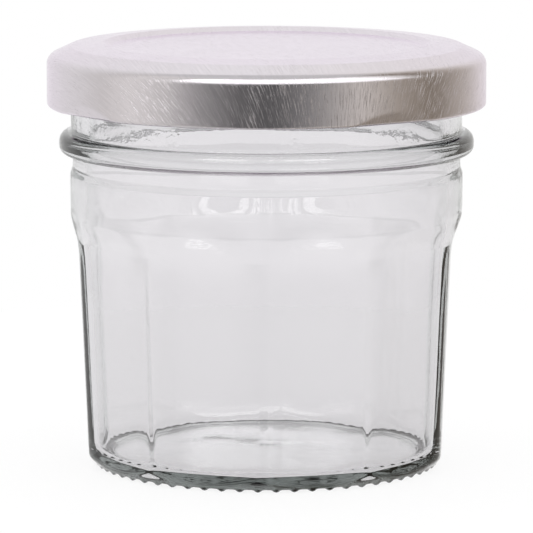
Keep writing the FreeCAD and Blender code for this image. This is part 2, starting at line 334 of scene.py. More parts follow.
class PressTree(Bench):
    """A Geometry Nodes tree that presses a turned blank into its final shape."""

    def __init__(self, name: str, sizes: dict[str, float], finish: bpy.types.Material | None) -> None:
        """Starts a tree with one named input for each size.

        Args:
            name: The tree's name.
            sizes: The sizes that the tree takes, by name.
            finish: The material of the whole piece, or None if its blank is dressed already.
        """
        super().__init__(bpy.data.node_groups.new(name, "GeometryNodeTree"))
        self.sizes = sizes
        self.finish = finish
        face = self.tree.interface
        face.new_socket("Blank", in_out="INPUT", socket_type="NodeSocketGeometry")
        for label in sizes:
            face.new_socket(label, in_out="INPUT", socket_type="NodeSocketFloat")
        face.new_socket("Finish", in_out="INPUT", socket_type="NodeSocketMaterial")
        face.new_socket("Pressed", in_out="OUTPUT", socket_type="NodeSocketGeometry")
        self.entry = self.node("NodeGroupInput")
        self.shape = self.entry.outputs["Blank"]

    def size(self, label: str) -> Term:
        """Gives the number that comes in by this name."""
        return Term(self, self.entry.outputs[label])

    def attribute(self, name: str) -> Term:
        """Reads a number that is kept on the points.

        Args:
            name: The attribute's name.

        Returns:
            The number.
        """
        made = self.node("GeometryNodeInputNamedAttribute", data_type="FLOAT")
        made.inputs["Name"].default_value = name
        return Term(self, made.outputs["Attribute"])

    def move_to(self, across: Term, along: Term, up: Term) -> None:
        """Puts every point at a new place.

        Args:
            across: The place along X.
            along: The place along Y.
            up: The place along Z.
        """
        made = self.node("GeometryNodeSetPosition")
        self.fill(made, Geometry=self.shape, Position=self.vector(across, along, up))
        self.shape = made.outputs[0]

    def swell(self, amount: Term) -> None:
        """Moves every point out along the surface's normal.

        Args:
            amount: How far each point moves.
        """
        made = self.node("GeometryNodeSetPosition")
        push = self.node("ShaderNodeVectorMath", operation="SCALE")
        self.fill(push, Vector=self.node("GeometryNodeInputNormal").outputs[0], Scale=amount)
        self.fill(made, Geometry=self.shape, Offset=push.outputs[0])
        self.shape = made.outputs[0]

    def press(self, blank: bpy.types.Object) -> None:
        """Closes the tree, runs it on a blank and leaves the blank a plain mesh.

        Args:
            blank: The object to press.
        """
        real = self.node("GeometryNodeRealizeInstances")
        self.fill(real, Geometry=self.shape)
        dress = self.node("GeometryNodeSetMaterial")
        self.fill(dress, Geometry=real.outputs[0], Material=self.entry.outputs["Finish"])
        dress.inputs["Selection"].default_value = self.finish is not None
        self.feed(self.node("NodeGroupOutput").inputs["Pressed"], dress.outputs[0])
        modifier = blank.modifiers.new("press", "NODES")
        modifier.node_group = self.tree
        for item in self.tree.interface.items_tree:
            if item.name in self.sizes:
                modifier[item.identifier] = self.sizes[item.name]
            elif item.name == "Finish":
                modifier[item.identifier] = self.finish
        graph = bpy.context.evaluated_depsgraph_get()
        pressed = bpy.data.meshes.new_from_object(
            blank.evaluated_get(graph), preserve_all_data_layers=True, depsgraph=graph
        )
        blank.modifiers.remove(modifier)
        raw, blank.data = blank.data, pressed
        bpy.data.meshes.remove(raw)
        pressed.name = blank.name


def linked_object(name: str, data: bpy.types.ID | None) -> bpy.types.Object:
    """Adds an object to the scene, at the origin.

    Args:
        name: The object's name.
        data: Its mesh or camera.

    Returns:
        The object.
    """
    made = bpy.data.objects.new(name, data)
    bpy.context.scene.collection.objects.link(made)
    return made


# Finishes --------------------------------------------------------------------------------------


class Finish:
    """A material that is made of nodes round one Principled shader."""

    name = "finish"

    def material(self) -> bpy.types.Material:
        """Makes the material.

        Returns:
            The material, wired by the finish's own wire method.
        """
        made = bpy.data.materials.new(self.name)
        made.use_nodes = True
        made.node_tree.nodes.clear()
        bench = Bench(made.node_tree)
        shader = bench.node("ShaderNodeBsdfPrincipled")
        output = bench.node("ShaderNodeOutputMaterial")
        bench.feed(output.inputs["Surface"], shader.outputs[0])
        self.wire(bench, shader, output)
        return made

    def wire(self, bench: Bench, shader: bpy.types.Node, output: bpy.types.Node) -> None:
        """Wires the finish's own nodes.

        Args:
            bench: The bench of the material's tree.
            shader: The Principled shader.
            output: The material's output.
        """
        raise NotImplementedError


@dataclass(frozen=True)
class ClearGlass(Finish):
    """Flint glass with the faint green of its iron, painted shade where it is seen edge-on, and the soft
    unevenness of a pressed surface.
    """

    name: str = "clear_glass"
    refraction: float = 1.52
    tint: tuple[float, float, float, float] = (0.975, 0.97, 0.975, 1.0)
    # painted shade: the darker green-grey that the glass's colour turns to where it is seen edge-on, which
    # stands in for the dark edges that refraction and reflection show
    painted_edge_shade: tuple[float, float, float, float] = (0.86, 0.885, 0.875, 1.0)
    iron: tuple[float, float, float, float] = (0.63, 0.655, 0.645, 1.0)
    iron_density: float = 68.0
    cloud_size: float = 9 * MM
    # the fine unevenness all over, and the chill marks of the neck, between two heights
    orange_peel: float = 1.6 * MM
    peel_height: float = 0.004 * MM
    chill: tuple[float, float] = (64.5 * MM, 69.5 * MM)
    chill_edge: float = 0.8 * MM
    chill_clouds: tuple[float, float] = (0.53, 0.60)
    chill_size: float = 0.9 * MM
    chill_depth: float = 0.025 * MM
    # where the glass is dull, and how dull
    dull_clouds: tuple[float, float] = (0.5, 0.75)
    dullest: float = 0.035
    # how far from square on the surface is seen, from where the painted shade of the edges sets in
    painted_shade_reach: tuple[float, float] = (0.62, 0.86)

    def wire(self, bench: Bench, shader: bpy.types.Node, output: bpy.types.Node) -> None:
        """Wires colour with a painted shade at the edges, unevenness and absorption.

        Args:
            bench: The bench of the material's tree.
            shader: The Principled shader.
            output: The material's output.
        """
        place = bench.node("ShaderNodeTexCoord").outputs["Object"]
        clouds = bench.noise(place, 1 / self.cloud_size, 3.0)
        peel = bench.noise(place, 1 / self.orange_peel, 2.0)
        low, high = self.chill
        up = bench.parts(place)[2]
        chilled = bench.ease(up, low, low + self.chill_edge) * bench.ease(up, high, high - self.chill_edge)
        chilled = chilled * bench.ease(clouds, *self.chill_clouds)
        marks = bench.noise(place, 1 / self.chill_size, 3.0) * chilled
        height = peel * (self.peel_height / MM) + marks * (self.chill_depth / MM)
        bump = bench.node("ShaderNodeBump")
        bench.fill(bump, Strength=1.0, Distance=MM, Height=height)
        # painted shade: the glass's colour darkens to a green-grey where its surface is seen edge-on
        rim = bench.node("ShaderNodeLayerWeight")
        rim.inputs["Blend"].default_value = 0.5
        edge = bench.ease(Term(bench, rim.outputs["Facing"]), *self.painted_shade_reach)
        colour = bench.node("ShaderNodeMix", data_type="RGBA")
        bench.feed(colour.inputs[0], edge)
        colour.inputs[6].default_value = self.tint
        colour.inputs[7].default_value = self.painted_edge_shade
        bench.fill(
            shader,
            Base_Color=colour.outputs[2],
            Roughness=bench.ease(clouds, *self.dull_clouds) * self.dullest,
            IOR=self.refraction,
            Transmission_Weight=1.0,
            Normal=bump.outputs[0],
        )
        iron = bench.node("ShaderNodeVolumeAbsorption")
        iron.inputs["Color"].default_value = self.iron
        iron.inputs["Density"].default_value = self.iron_density
        bench.feed(output.inputs["Volume"], iron.outputs[0])


@dataclass(frozen=True)
class BrushedTinplate(Finish):
    """Lacquered tinplate, brushed in one direction while it was still a flat sheet."""

    name: str = "brushed_tinplate"
    metal: tuple[float, float, float] = (0.87, 0.832, 0.868)
    grazing: tuple[float, float, float, float] = (0.97, 0.928, 0.98, 1.0)
    # the brush's way on the sheet, and the size of its lines and of stray scratches, in millimetres
    brush_aim: float = radians(21.8)
    line_width: float = 0.16
    line_length: float = 6.0
    scratch_width: float = 0.13
    scratch_length: float = 4.5
    line_height: float = 0.006 * MM
    scratch_height: float = 0.017 * MM
    # where the sheet is worn: patches to a millimetre, and how strong a cloud or streak has to be
    worn_scale: float = 0.05
    worn_clouds: tuple[float, float] = (0.20, 0.60)
    scratch_streaks: tuple[float, float] = (0.55, 0.68)
    # how light and how rough the brush lines are, from trough to crest
    tones: tuple[float, float] = (0.84, 1.12)
    roughness: tuple[float, float] = (0.10, 0.22)
    scratch_roughness: float = 0.15
    stretch: float = 0.85

    def streaks(self, bench: Bench, place: object, width: float, length: float) -> Term:
        """Draws a cloudy pattern that is stretched along the brush's way.

        Args:
            bench: The bench of the material's tree.
            place: Coordinates on the flat sheet, in millimetres.
            width: How wide one streak is, in millimetres.
            length: How long one streak is, in millimetres.

        Returns:
            A number about 0.5 that varies over the sheet.
        """
        turn = bench.node("ShaderNodeMapping")
        bench.fill(turn, Vector=place, Rotation=(0, 0, -self.brush_aim))
        squeeze = bench.node("ShaderNodeVectorMath", operation="MULTIPLY")
        bench.feed(squeeze.inputs[0], turn.outputs[0])
        squeeze.inputs[1].default_value = (1 / width, 1 / length, 1)
        return bench.noise(squeeze.outputs[0], 1.0, 2.0, 0.6)

    def wire(self, bench: Bench, shader: bpy.types.Node, output: bpy.types.Node) -> None:
        """Wires brush lines and stray scratches to colour, gloss and relief.

        Args:
            bench: The bench of the material's tree.
            shader: The Principled shader.
            output: The material's output.
        """
        place = bench.node("ShaderNodeUVMap", uv_map="sheet").outputs[0]
        fine = self.streaks(bench, place, self.line_width, self.line_length)
        coarse = self.streaks(bench, place, self.scratch_width, self.scratch_length)
        worn = bench.ease(bench.noise(place, self.worn_scale, 2.0), *self.worn_clouds)
        scratch = bench.ease(coarse, *self.scratch_streaks) * worn
        height = (fine - 0.5) * (self.line_height / MM) - scratch * (self.scratch_height / MM)
        bump = bench.node("ShaderNodeBump")
        bench.fill(bump, Strength=1.0, Distance=MM, Height=height)
        tone = bench.blend(fine, *self.tones)
        colour = bench.node("ShaderNodeCombineColor")
        for socket, part in zip(colour.inputs, self.metal):
            bench.feed(socket, tone * part)
        along = bench.node("ShaderNodeTangent", direction_type="UV_MAP", uv_map="brush")
        bench.fill(
            shader,
            Base_Color=colour.outputs[0],
            Metallic=1.0,
            Roughness=bench.blend(fine, *self.roughness) + scratch * self.scratch_roughness,
            Anisotropic=self.stretch,
            Specular_Tint=self.grazing,
            Tangent=along.outputs[0],
            Normal=bump.outputs[0],
        )


@dataclass(frozen=True)
class SealCompound(Finish):
    """The pale soft compound that is flowed into the lid's channel."""

    name: str = "seal_compound"
    colour: tuple[float, float, float] = (0.80, 0.79, 0.77)
    grain: float = 0.8 * MM
    grain_depth: float = 0.05 * MM
    grain_strength: float = 0.4
    tones: tuple[float, float] = (0.93, 1.05)
    roughness: tuple[float, float] = (0.42, 0.58)

    def wire(self, bench: Bench, shader: bpy.types.Node, output: bpy.types.Node) -> None:
        """Wires a faint cloudiness to colour, gloss and relief.

        Args:
            bench: The bench of the material's tree.
            shader: The Principled shader.
            output: The material's output.
        """
        place = bench.node("ShaderNodeTexCoord").outputs["Object"]
        clouds = bench.noise(place, 1 / self.grain, 3.0)
        tone = bench.blend(clouds, *self.tones)
        colour = bench.node("ShaderNodeCombineColor")
        for socket, part in zip(colour.inputs, self.colour):
            bench.feed(socket, tone * part)
        bump = bench.node("ShaderNodeBump")
        bench.fill(bump, Strength=self.grain_strength, Distance=self.grain_depth, Height=clouds)
        bench.fill(
            shader,
            Base_Color=colour.outputs[0],
            Roughness=bench.blend(clouds, *self.roughness),
            Normal=bump.outputs[0],
        )


# The jar ---------------------------------------------------------------------------------------


@dataclass
class GlassJar:
    """The jar: ten flat sides under a round band, a bead, a neck with a thread, and a knurled foot."""

    columns: int = 480
    turn_step: float = radians(13)
    facets: int = 10
    # heights above the table
    tooth_height: float = 0.5 * MM
    underside: float = 1.4 * MM
    underside_rise: float = 1.3 * MM
    heel: float = 2.6 * MM
    floor: float = 2.6 * MM
    floor_rise: float = 1.5 * MM
    body: float = 44.6 * MM
    ledge_head: float = 49.2 * MM
    band_head: float = 57.4 * MM
    waist_foot: float = 58.7 * MM
    bead_foot: float = 61.5 * MM
    bead_head: float = 65.6 * MM
    rim: float = 81.0 * MM
    # distances from the axis
    flat_foot: float = 34.35 * MM
    flat_head: float = 36.25 * MM
    corner_foot: float = 35.8 * MM
    corner_head: float = 37.55 * MM
    band: float = 38.3 * MM
    waist: float = 37.85 * MM
    bead: float = 40.45 * MM
    neck: float = 38.15 * MM
    bore: float = 34.8 * MM
    ring_inner: float = 30.8 * MM
    ring_outer: float = 33.7 * MM
    tooth_inset: float = 0.3 * MM
    tooth_fade: float = 31.6 * MM
    # the wall
    wall: float = 2.6 * MM
    corner_wall: float = 2.7 * MM
    band_wall: float = 3.1 * MM
    inner_bend: float = 6.0 * MM
    floor_bend: float = 3.2 * MM
    # the rounds of the outline outside, from the foot up
    punt_bend: float = 3.0 * MM
    ring_bend: float = 1.1 * MM
    heel_bend: float = 2.2 * MM
    ledge_foot_bend: float = 1.6 * MM
    ledge_head_bend: float = 3.2 * MM
    band_bend: float = 1.0 * MM
    crease: float = 0.15 * MM
    bead_foot_bend: float = 1.4 * MM
    bead_head_bend: float = 1.8 * MM
    neck_bend: float = 0.3 * MM
    rim_outer_bend: float = 1.1 * MM
    rim_inner_bend: float = 1.3 * MM
    # how softly the mould's faces run into each other
    outer_softness: float = 1.2 * MM
    band_softness: float = 0.9 * MM
    inner_softness: float = 2.4 * MM
    ledge_softness: float = 1.4 * MM
    # the knurl
    teeth: int = 60
    tooth_root: float = 1.9 * MM
    tooth_tip: float = 0.5 * MM
    tooth_full: float = 1.5  # tooth heights above the table, below which a tooth is whole
    # the thread
    ribs: int = 4
    rib_start: float = radians(15.13)
    rib_sweep: float = radians(68)
    rib_foot: float = 72.25 * MM
    rib_rise: float = 1.9 * MM
    rib_root: float = 2.4 * MM
    rib_crest: float = 1.1 * MM
    rib_depth: float = 2.1 * MM
    rib_fade: float = radians(5)
    neck_skin: tuple[float, float] = (0.3 * MM, 0.1 * MM)
    # the mould's joint, and the unevenness that the plunger leaves
    seam_aim: float = FRONT + radians(3)
    seam_height: float = 0.10 * MM
    seam_width: float = 0.9 * MM
    wave_height: float = 0.10 * MM
    wave_size: float = 14 * MM
    wave_detail: float = 1.5
    wave_seed: float = 7.0
    finish: ClearGlass = field(default_factory=ClearGlass)

    def outside(self) -> list[Corner]:
        """Gives the corners of the outside, from the underside's middle to the rim."""
        coarse, ring_step, fine, neck_step = 4 * MM, 0.3 * MM, 0.5 * MM, 0.45 * MM
        punt = self.ring_inner - 2 * (self.underside - self.tooth_height)
        return [
            Corner(0, self.underside + self.underside_rise, step=coarse),
            Corner(punt, self.underside, self.punt_bend),
            Corner(self.ring_inner, self.tooth_height, step=ring_step),
            Corner(self.ring_outer, self.tooth_height, self.ring_bend, fine),
            Corner(self.corner_foot, self.heel, self.heel_bend),
            Corner(self.corner_head, self.body, self.ledge_foot_bend, fine * 2),
            Corner(self.band, self.ledge_head, self.ledge_head_bend),
            Corner(self.band, self.band_head, self.band_bend),
            Corner(self.waist, self.waist_foot, self.band_bend),
            Corner(self.waist, self.bead_foot, self.crease),
            Corner(self.bead, self.bead_foot, self.bead_foot_bend),
            Corner(self.bead, self.bead_head, self.bead_head_bend),
            Corner(self.neck, self.bead_head, self.neck_bend, neck_step),
            Corner(self.neck, self.rim, self.rim_outer_bend),
        ]

    def inside(self) -> list[Corner]:
        """Gives the corners of the inside, from the rim to the floor's middle."""
        head, foot = self.corner_head - self.corner_wall, self.corner_foot - self.corner_wall
        inner_band = self.band - self.band_wall
        return [
            Corner(self.bore, self.rim, self.rim_inner_bend),
            Corner(self.bore, self.bead_foot, self.inner_bend),
            Corner(inner_band, self.band_head, self.inner_bend),
            Corner(inner_band, self.ledge_head, self.inner_bend),
            Corner(head, self.body, self.inner_bend),
            Corner(foot, self.floor, self.floor_bend),
            Corner(0, self.floor + self.floor_rise, step=4 * MM),
        ]

    def blank(self) -> bpy.types.Object:
        """Turns the jar's outline into a round blank.

        Returns:
            The blank, whose points know whether they are inside.
        """
        outline = soft_outline(self.outside() + self.inside(), self.turn_step)
        top = max(up for _, up in outline)
        rim = [up for _, up in outline].index(top)
        mesh = turned_mesh("jar", outline, self.columns)
        mark_rings(mesh, "inside", [float(place > rim) for place in range(len(outline))], self.columns)
        return linked_object("jar", mesh)

    def press(self, blank: bpy.types.Object) -> None:
        """Presses the flat sides, knurl, thread and mould joint into the blank.

        Args:
            blank: The round blank.
        """
        sizes = {
            "Flat at the table": self.flat_foot,
            "Flat at the ledge": self.flat_head,
            "Ledge foot": self.body,
            "Ledge slope": (self.band - self.flat_head) / (self.ledge_head - self.body),
            "Ledge softness": self.ledge_softness,
            "Outer softness": self.outer_softness,
            "Band softness": self.band_softness,
            "Inner softness": self.inner_softness,
            "Wall": self.wall,
            "Seam height": self.seam_height,
            "Seam width": self.seam_width,
            "Rib depth": self.rib_depth,
            "Rib root": self.rib_root,
            "Rib crest": self.rib_crest,
            "Tooth height": self.tooth_height,
            "Tooth root": self.tooth_root,
            "Tooth tip": self.tooth_tip,
            "Wave height": self.wave_height,
            "Wave size": self.wave_size,
            "Seed": self.wave_seed,
        }
        tree = PressTree("jar_mould", sizes, self.finish.material())
        place = tree.node("GeometryNodeInputPosition").outputs[0]
        across, along, up = tree.parts(place)
        out = tree.math("SQRT", across * across + along * along)
        aim = tree.math("ARCTAN2", along, across)
        inside = tree.attribute("inside")
        outside = 1.0 - inside
        pressed = self.flattened(tree, out, aim, up, inside)
        pressed = pressed + self.seam(tree, out, aim, up) * outside
        pressed = pressed + self.thread(tree, aim, up, out) * outside
        scale = pressed / out
        tree.move_to(across * scale, along * scale, up - self.knurl(tree, out, aim, up) * outside)
        tree.swell(self.waves(tree) * inside)
        tree.press(blank)

    def flattened(self, tree: PressTree, out: Term, aim: Term, up: Term, inside: Term) -> Term:
        """Works out the distance from the axis once the flat sides are pressed in.

        Args:
            tree: The tree being wired.
            out: Distance from the axis on the blank.
            aim: Angle round the axis.
            up: Height above the table.
            inside: One on the inside, nought on the outside.

        Returns:
            The new distance from the axis.
        """
        foot, head = tree.size("Flat at the table"), tree.size("Flat at the ledge")
        ledge_foot = tree.size("Ledge foot")
        lean = foot + (head - foot) * up / ledge_foot
        ledge = head + (up - ledge_foot) * tree.size("Ledge slope")
        face = tree.math("SMOOTH_MAX", lean, ledge, tree.size("Ledge softness"))
        face = face - inside * tree.size("Wall")
        half = pi / self.facets
        turn = tree.math("WRAP", aim, half, -half)
        outer = tree.blend(
            tree.ease(up, self.body - self.ledge_softness, self.ledge_head),
            tree.size("Outer softness"),
            tree.size("Band softness"),
        )
        softness = tree.blend(inside, outer, tree.size("Inner softness"))
        return tree.math("SMOOTH_MIN", out, face / tree.math("COSINE", turn), softness)

    def seam(self, tree: PressTree, out: Term, aim: Term, up: Term) -> Term:
        """Works out the fine ridge where the two halves of the mould meet.

        Args:
            tree: The tree being wired.
            out: Distance from the axis on the blank.
            aim: Angle round the axis.
            up: Height above the table.

        Returns:
            How far the ridge stands out.
        """
        turn = tree.math("WRAP", aim - self.seam_aim, pi / 2, -pi / 2)
        ridge = 1.0 - abs(turn) * out / tree.size("Seam width")
        tall = tree.ease(up, self.tooth_height, self.heel)
        return ridge.clamped() * tree.size("Seam height") * tall

    def thread(self, tree: PressTree, aim: Term, up: Term, out: Term) -> Term:
        """Works out how far the thread's ribs stand out of the neck.

        Args:
            tree: The tree being wired.
            aim: Angle round the axis.
            up: Height above the table.
            out: Distance from the axis on the blank.

        Returns:
            How far a rib stands out there.
        """
        share = 2 * pi / self.ribs
        run = tree.math("WRAP", aim - self.rib_start, share, 0.0)
        middle = run * (self.rib_rise / self.rib_sweep) + self.rib_foot
        root, crest = tree.size("Rib root"), tree.size("Rib crest")
        flank = (root / 2 - abs(up - middle)) / ((root - crest) / 2)
        ends = tree.ease(run, 0.0, self.rib_fade)
        ends = ends * tree.ease(run, self.rib_sweep, self.rib_sweep - self.rib_fade)
        on_neck = tree.ease(out, *(self.neck - depth for depth in self.neck_skin))
        return tree.ease(flank, 0.0, 1.0) * ends * on_neck * tree.size("Rib depth")

    def knurl(self, tree: PressTree, out: Term, aim: Term, up: Term) -> Term:
        """Works out how far the teeth of the bearing ring reach down.

        Args:
            tree: The tree being wired.
            out: Distance from the axis on the blank.
            aim: Angle round the axis.
            up: Height above the table.

        Returns:
            How far down a tooth reaches there.
        """
        half = pi / self.teeth
        off = abs(tree.math("WRAP", aim, half, -half)) * out
        root, tip = tree.size("Tooth root"), tree.size("Tooth tip")
        flank = (root / 2 - off) / ((root - tip) / 2)
        inner = tree.ease(out, self.tooth_fade, self.ring_outer - self.tooth_inset)
        outer = tree.ease(out, self.ring_outer + self.tooth_inset, self.ring_outer - self.tooth_inset)
        low = tree.ease(up, self.tooth_height * 2, self.tooth_height * self.tooth_full)
        return flank.clamped() * inner * outer * low * tree.size("Tooth height")

    def waves(self, tree: PressTree) -> Term:
        """Works out the slow unevenness of the inside.

        Args:
            tree: The tree being wired.

        Returns:
            How far the inside swells there.
        """
        made = tree.node("ShaderNodeTexNoise", noise_dimensions="4D")
        scale = tree.math("DIVIDE", 1.0, tree.size("Wave size"))
        tree.fill(made, W=tree.size("Seed"), Scale=scale, Detail=self.wave_detail)
        return (Term(tree, made.outputs[0]) - 0.5) * 2.0 * tree.size("Wave height")

    def build(self) -> bpy.types.Object:
        """Makes the jar and puts it in the frame in place of its node.

        Returns:
            The jar.
        """
        jar = self.blank()
        self.press(jar)
        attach(jar, "root")
        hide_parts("jar")
        return jar


# The lid ---------------------------------------------------------------------------------------


class LidSide(Enum):
    """The two finishes of the lid's surface, in the order of its material slots."""

    METAL = 0
    COMPOUND = 1


@dataclass
class TwistLid:
    """The lid: one drawn sheet with a sunk panel, a ridge, a skirt, a rolled edge and four lugs."""

    columns: int = 480
    # heights above the table
    foot: float = 70.62 * MM
    lug_top: float = 71.72 * MM
    lug_head: float = 73.12 * MM
    shoulder: float = 80.22 * MM
    panel: float = 82.02 * MM
    ridge: float = 82.32 * MM
    crest: float = 82.80 * MM
    seal_face: float = 81.02 * MM
    # distances from the axis
    skirt: float = 42.8 * MM
    ridge_outer: float = 38.2 * MM
    ridge_inner: float = 32.0 * MM
    panel_edge: float = 30.4 * MM
    seal_inner: float = 35.7 * MM
    seal_outer: float = 40.2 * MM
    seal_depth: float = 1.1 * MM
    lug_reach: float = 39.5 * MM
    press_chord: float = 41.72 * MM
    # the sheet, its rounds and its rolled edge
    plate: float = 0.22 * MM
    curl: float = 1.5 * MM
    curl_bend: float = 0.1 * MM
    shoulder_bend: float = 2.2 * MM
    ridge_bend: float = 0.6 * MM
    crease: float = 0.15 * MM
    seal_bend: float = 0.6 * MM
    turn_step: float = radians(9)
    # the lugs
    lugs: int = 4
    lug_aim: float = radians(37.8)
    lug_half: float = 9.63 * MM
    lug_full: float = 0.72  # share of a lug's half that it keeps whole
    lug_press: float = 0.8  # share of the reach that its rolled edge is pressed in by
    press_softness: float = 0.12 * MM
    metal: BrushedTinplate = field(default_factory=BrushedTinplate)
    seal: SealCompound = field(default_factory=SealCompound)

    def corners(self) -> list[Corner]:
        """Gives the corners of the sheet, from under the panel's middle, round the edge, to its top."""
        coarse, fine = 4 * MM, 0.3 * MM
        ceiling, inner = self.panel - self.plate, self.skirt - self.plate
        roll, curl_top = self.skirt - self.curl, self.foot + self.curl
        half_curl = self.curl / 2 - 0.01 * MM
        slope = (self.crest - self.ridge) / (self.ridge_outer - self.ridge_inner)
        edge = self.seal_inner - self.seal_depth
        under = self.ridge + (self.ridge_outer - edge) * slope - self.plate
        return [
            Corner(0, ceiling, step=coarse),
            Corner(self.panel_edge + self.plate / 2, ceiling, self.ridge_bend / 2),
            Corner(self.ridge_inner + self.plate / 2, self.crest - self.plate, self.ridge_bend / 2),
            Corner(edge, under, self.crease),
            Corner(self.seal_inner, self.seal_face, self.crease),
            Corner(self.seal_outer, self.seal_face, self.seal_bend),
            Corner(inner, self.shoulder - self.plate, self.shoulder_bend - self.plate),
            Corner(inner, curl_top, self.curl_bend, fine),
            Corner(roll, curl_top, half_curl, fine),
            Corner(roll, self.foot, half_curl, fine),
            Corner(self.skirt, self.foot, half_curl, fine),
            Corner(self.skirt, self.shoulder, self.shoulder_bend, fine * 2),
            Corner(self.ridge_outer, self.ridge, self.ridge_bend, fine * 2),
            Corner(self.ridge_inner, self.crest, self.ridge_bend / 2),
            Corner(self.panel_edge, self.panel, self.ridge_bend),
            Corner(0, self.panel, step=coarse),
        ]

    def blank(self) -> bpy.types.Object:
        """Turns the lid's outline into a round cap, with its sheet coordinates and finishes.

        Returns:
            The cap. Its rolled edge is marked, so that the lugs are pressed from it.
        """
        outline = soft_outline(self.corners(), self.turn_step)
        mesh = turned_mesh("lid", outline, self.columns)
        lengths = [0.0]
        for here, there in zip(outline, outline[1:]):
            lengths.append(lengths[-1] + hypot(there[0] - here[0], there[1] - here[1]))
        sheet = [min(run, lengths[-1] - run) for run in lengths]
        self.lay_out(mesh, sheet)
        middle = self.skirt - self.curl / 2
        rolled = [float(out < middle and up < self.foot + self.curl * 1.05) for out, up in outline]
        mark_rings(mesh, "rolled", rolled, self.columns)
        for side in (self.metal, self.seal):
            mesh.materials.append(side.material())
        reach = (self.seal_inner - self.seal_depth, self.seal_outer + 0.5 * MM)
        for face in mesh.polygons:
            out = hypot(face.center.x, face.center.y)
            low = self.seal_face - 0.3 * MM < face.center.z < self.panel - self.plate / 2
            if low and face.normal.z < 0 and reach[0] < out < reach[1]:
                face.material_index = LidSide.COMPOUND.value
        return linked_object("lid", mesh)

    def lay_out(self, mesh: bpy.types.Mesh, sheet: Sequence[float]) -> None:
        """Gives each point its place on the flat sheet that the lid was drawn from.

        Args:
            mesh: The turned cap.
            sheet: Distance from the sheet's middle for each point of the outline.
        """
        rings = [reach / MM for reach in sheet[1:-1] for _ in range(self.columns)] + [0.0, 0.0]
        aims = [FRONT + 2 * pi * column / self.columns for column in range(self.columns)]
        flat = mesh.uv_layers.new(name="sheet")
        brushed = mesh.uv_layers.new(name="brush")
        tilt = self.metal.brush_aim
        for loop in mesh.loops:
            aim, reach = aims[loop.vertex_index % self.columns], rings[loop.vertex_index]
            flat.data[loop.index].uv = (reach * cos(aim), reach * sin(aim))
            turn = aim - tilt
            brushed.data[loop.index].uv = (reach * cos(turn), reach * sin(turn))

    def press(self, blank: bpy.types.Object) -> None:
        """Presses the four lugs into the cap's edge.

        Args:
            blank: The round cap.
        """
        sizes = {
            "Chord": self.press_chord,
            "Press height": self.lug_head - self.foot,
            "Press softness": self.press_softness,
            "Lug half": self.lug_half,
            "Lug reach": self.skirt - self.curl - self.lug_reach,
            "Lug squeeze": (self.lug_top - self.foot) / self.curl,
        }
        tree = PressTree("lid_press", sizes, None)
        across, along, up = tree.parts(tree.node("GeometryNodeInputPosition").outputs[0])
        out = tree.math("SQRT", across * across + along * along)
        aim = tree.math("ARCTAN2", along, across)
        half = pi / self.lugs
        turn = tree.math("WRAP", aim - self.lug_aim, half, -half)
        inset = self.skirt - out
        lean = (self.skirt - tree.size("Chord")) / tree.size("Press height")
        plane = (up - self.foot) * lean + tree.size("Chord") - inset
        flat = plane / tree.math("COSINE", turn)
        pressed = tree.math("SMOOTH_MIN", out, flat, tree.size("Press softness"))
        off = abs(tree.math("SINE", turn)) * out
        lug = tree.ease(off, tree.size("Lug half"), tree.size("Lug half") * self.lug_full)
        lug = lug * tree.attribute("rolled")
        pressed = pressed - lug * tree.size("Lug reach") * self.lug_press
        squeeze = tree.blend(lug, 1.0, tree.size("Lug squeeze"))
        scale = pressed / out
        low = tree.math("MINIMUM", up - self.foot, self.curl * 1.1)
        tree.move_to(across * scale, along * scale, up - low * (1.0 - squeeze))
        tree.press(blank)

    def build(self) -> bpy.types.Object:
        """Makes the lid and puts it in the frame in place of its node.

        Returns:
            The lid.
        """
        lid = self.blank()
        self.press(lid)
        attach(lid, "root")
        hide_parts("lid")
        return lid


# The studio ------------------------------------------------------------------------------------


@dataclass(frozen=True)
class PaleFloor(Finish):
    """A plain pale table top that reads as white, and still takes the jar's shadow."""

    name: str = "pale_floor"
    colour: tuple[float, float, float, float] = (0.93, 0.93, 0.93, 1.0)
    grain: float = 1 / 900
    roughness: tuple[float, float] = (0.75, 0.95)
    # what is seen of it by the camera, and through the glass
    white: tuple[float, float, float] = (1.0, 1.0, 1.0)
    backdrop: tuple[float, float, float] = (0.835, 0.815, 0.84)
    shares: tuple[float, float] = (0.86, 0.80)

    def material(self) -> bpy.types.Material:
        """Makes the floor's material: partly lit paint, partly plain white for what looks at it.

        Returns:
            The material.
        """
        made = bpy.data.materials.new(self.name)
        made.use_nodes = True
        made.node_tree.nodes.clear()
        bench = Bench(made.node_tree)
        place = bench.node("ShaderNodeTexCoord").outputs["Object"]
        grain = bench.noise(place, 1 / self.grain, 3.0)
        paint = bench.node("ShaderNodeBsdfPrincipled")
        bench.fill(paint, Base_Color=self.colour, Roughness=bench.blend(grain, *self.roughness))
        rays = bench.node("ShaderNodeLightPath").outputs
        direct, through = (Term(bench, rays[f"Is {kind} Ray"]) for kind in ("Camera", "Transmission"))
        parts = [bench.blend(through, *pair) for pair in zip(self.white, self.backdrop)]
        plain = bench.node("ShaderNodeEmission")
        bench.fill(plain, Color=bench.vector(*parts))
        mix = bench.node("ShaderNodeMixShader")
        bench.feed(mix.inputs[0], direct * self.shares[0] + through * self.shares[1])
        bench.feed(mix.inputs[1], paint.outputs[0])
        bench.feed(mix.inputs[2], plain.outputs[0])
        bench.feed(bench.node("ShaderNodeOutputMaterial").inputs["Surface"], mix.outputs[0])
        return made


class SkyPatch(NamedTuple):
    """A soft-edged oblong of the sky, in degrees: turns from the camera's side, and height angles."""

    turns: tuple[float, float]
    turn_edge: float
    rises: tuple[float, float]
    rise_edge: float


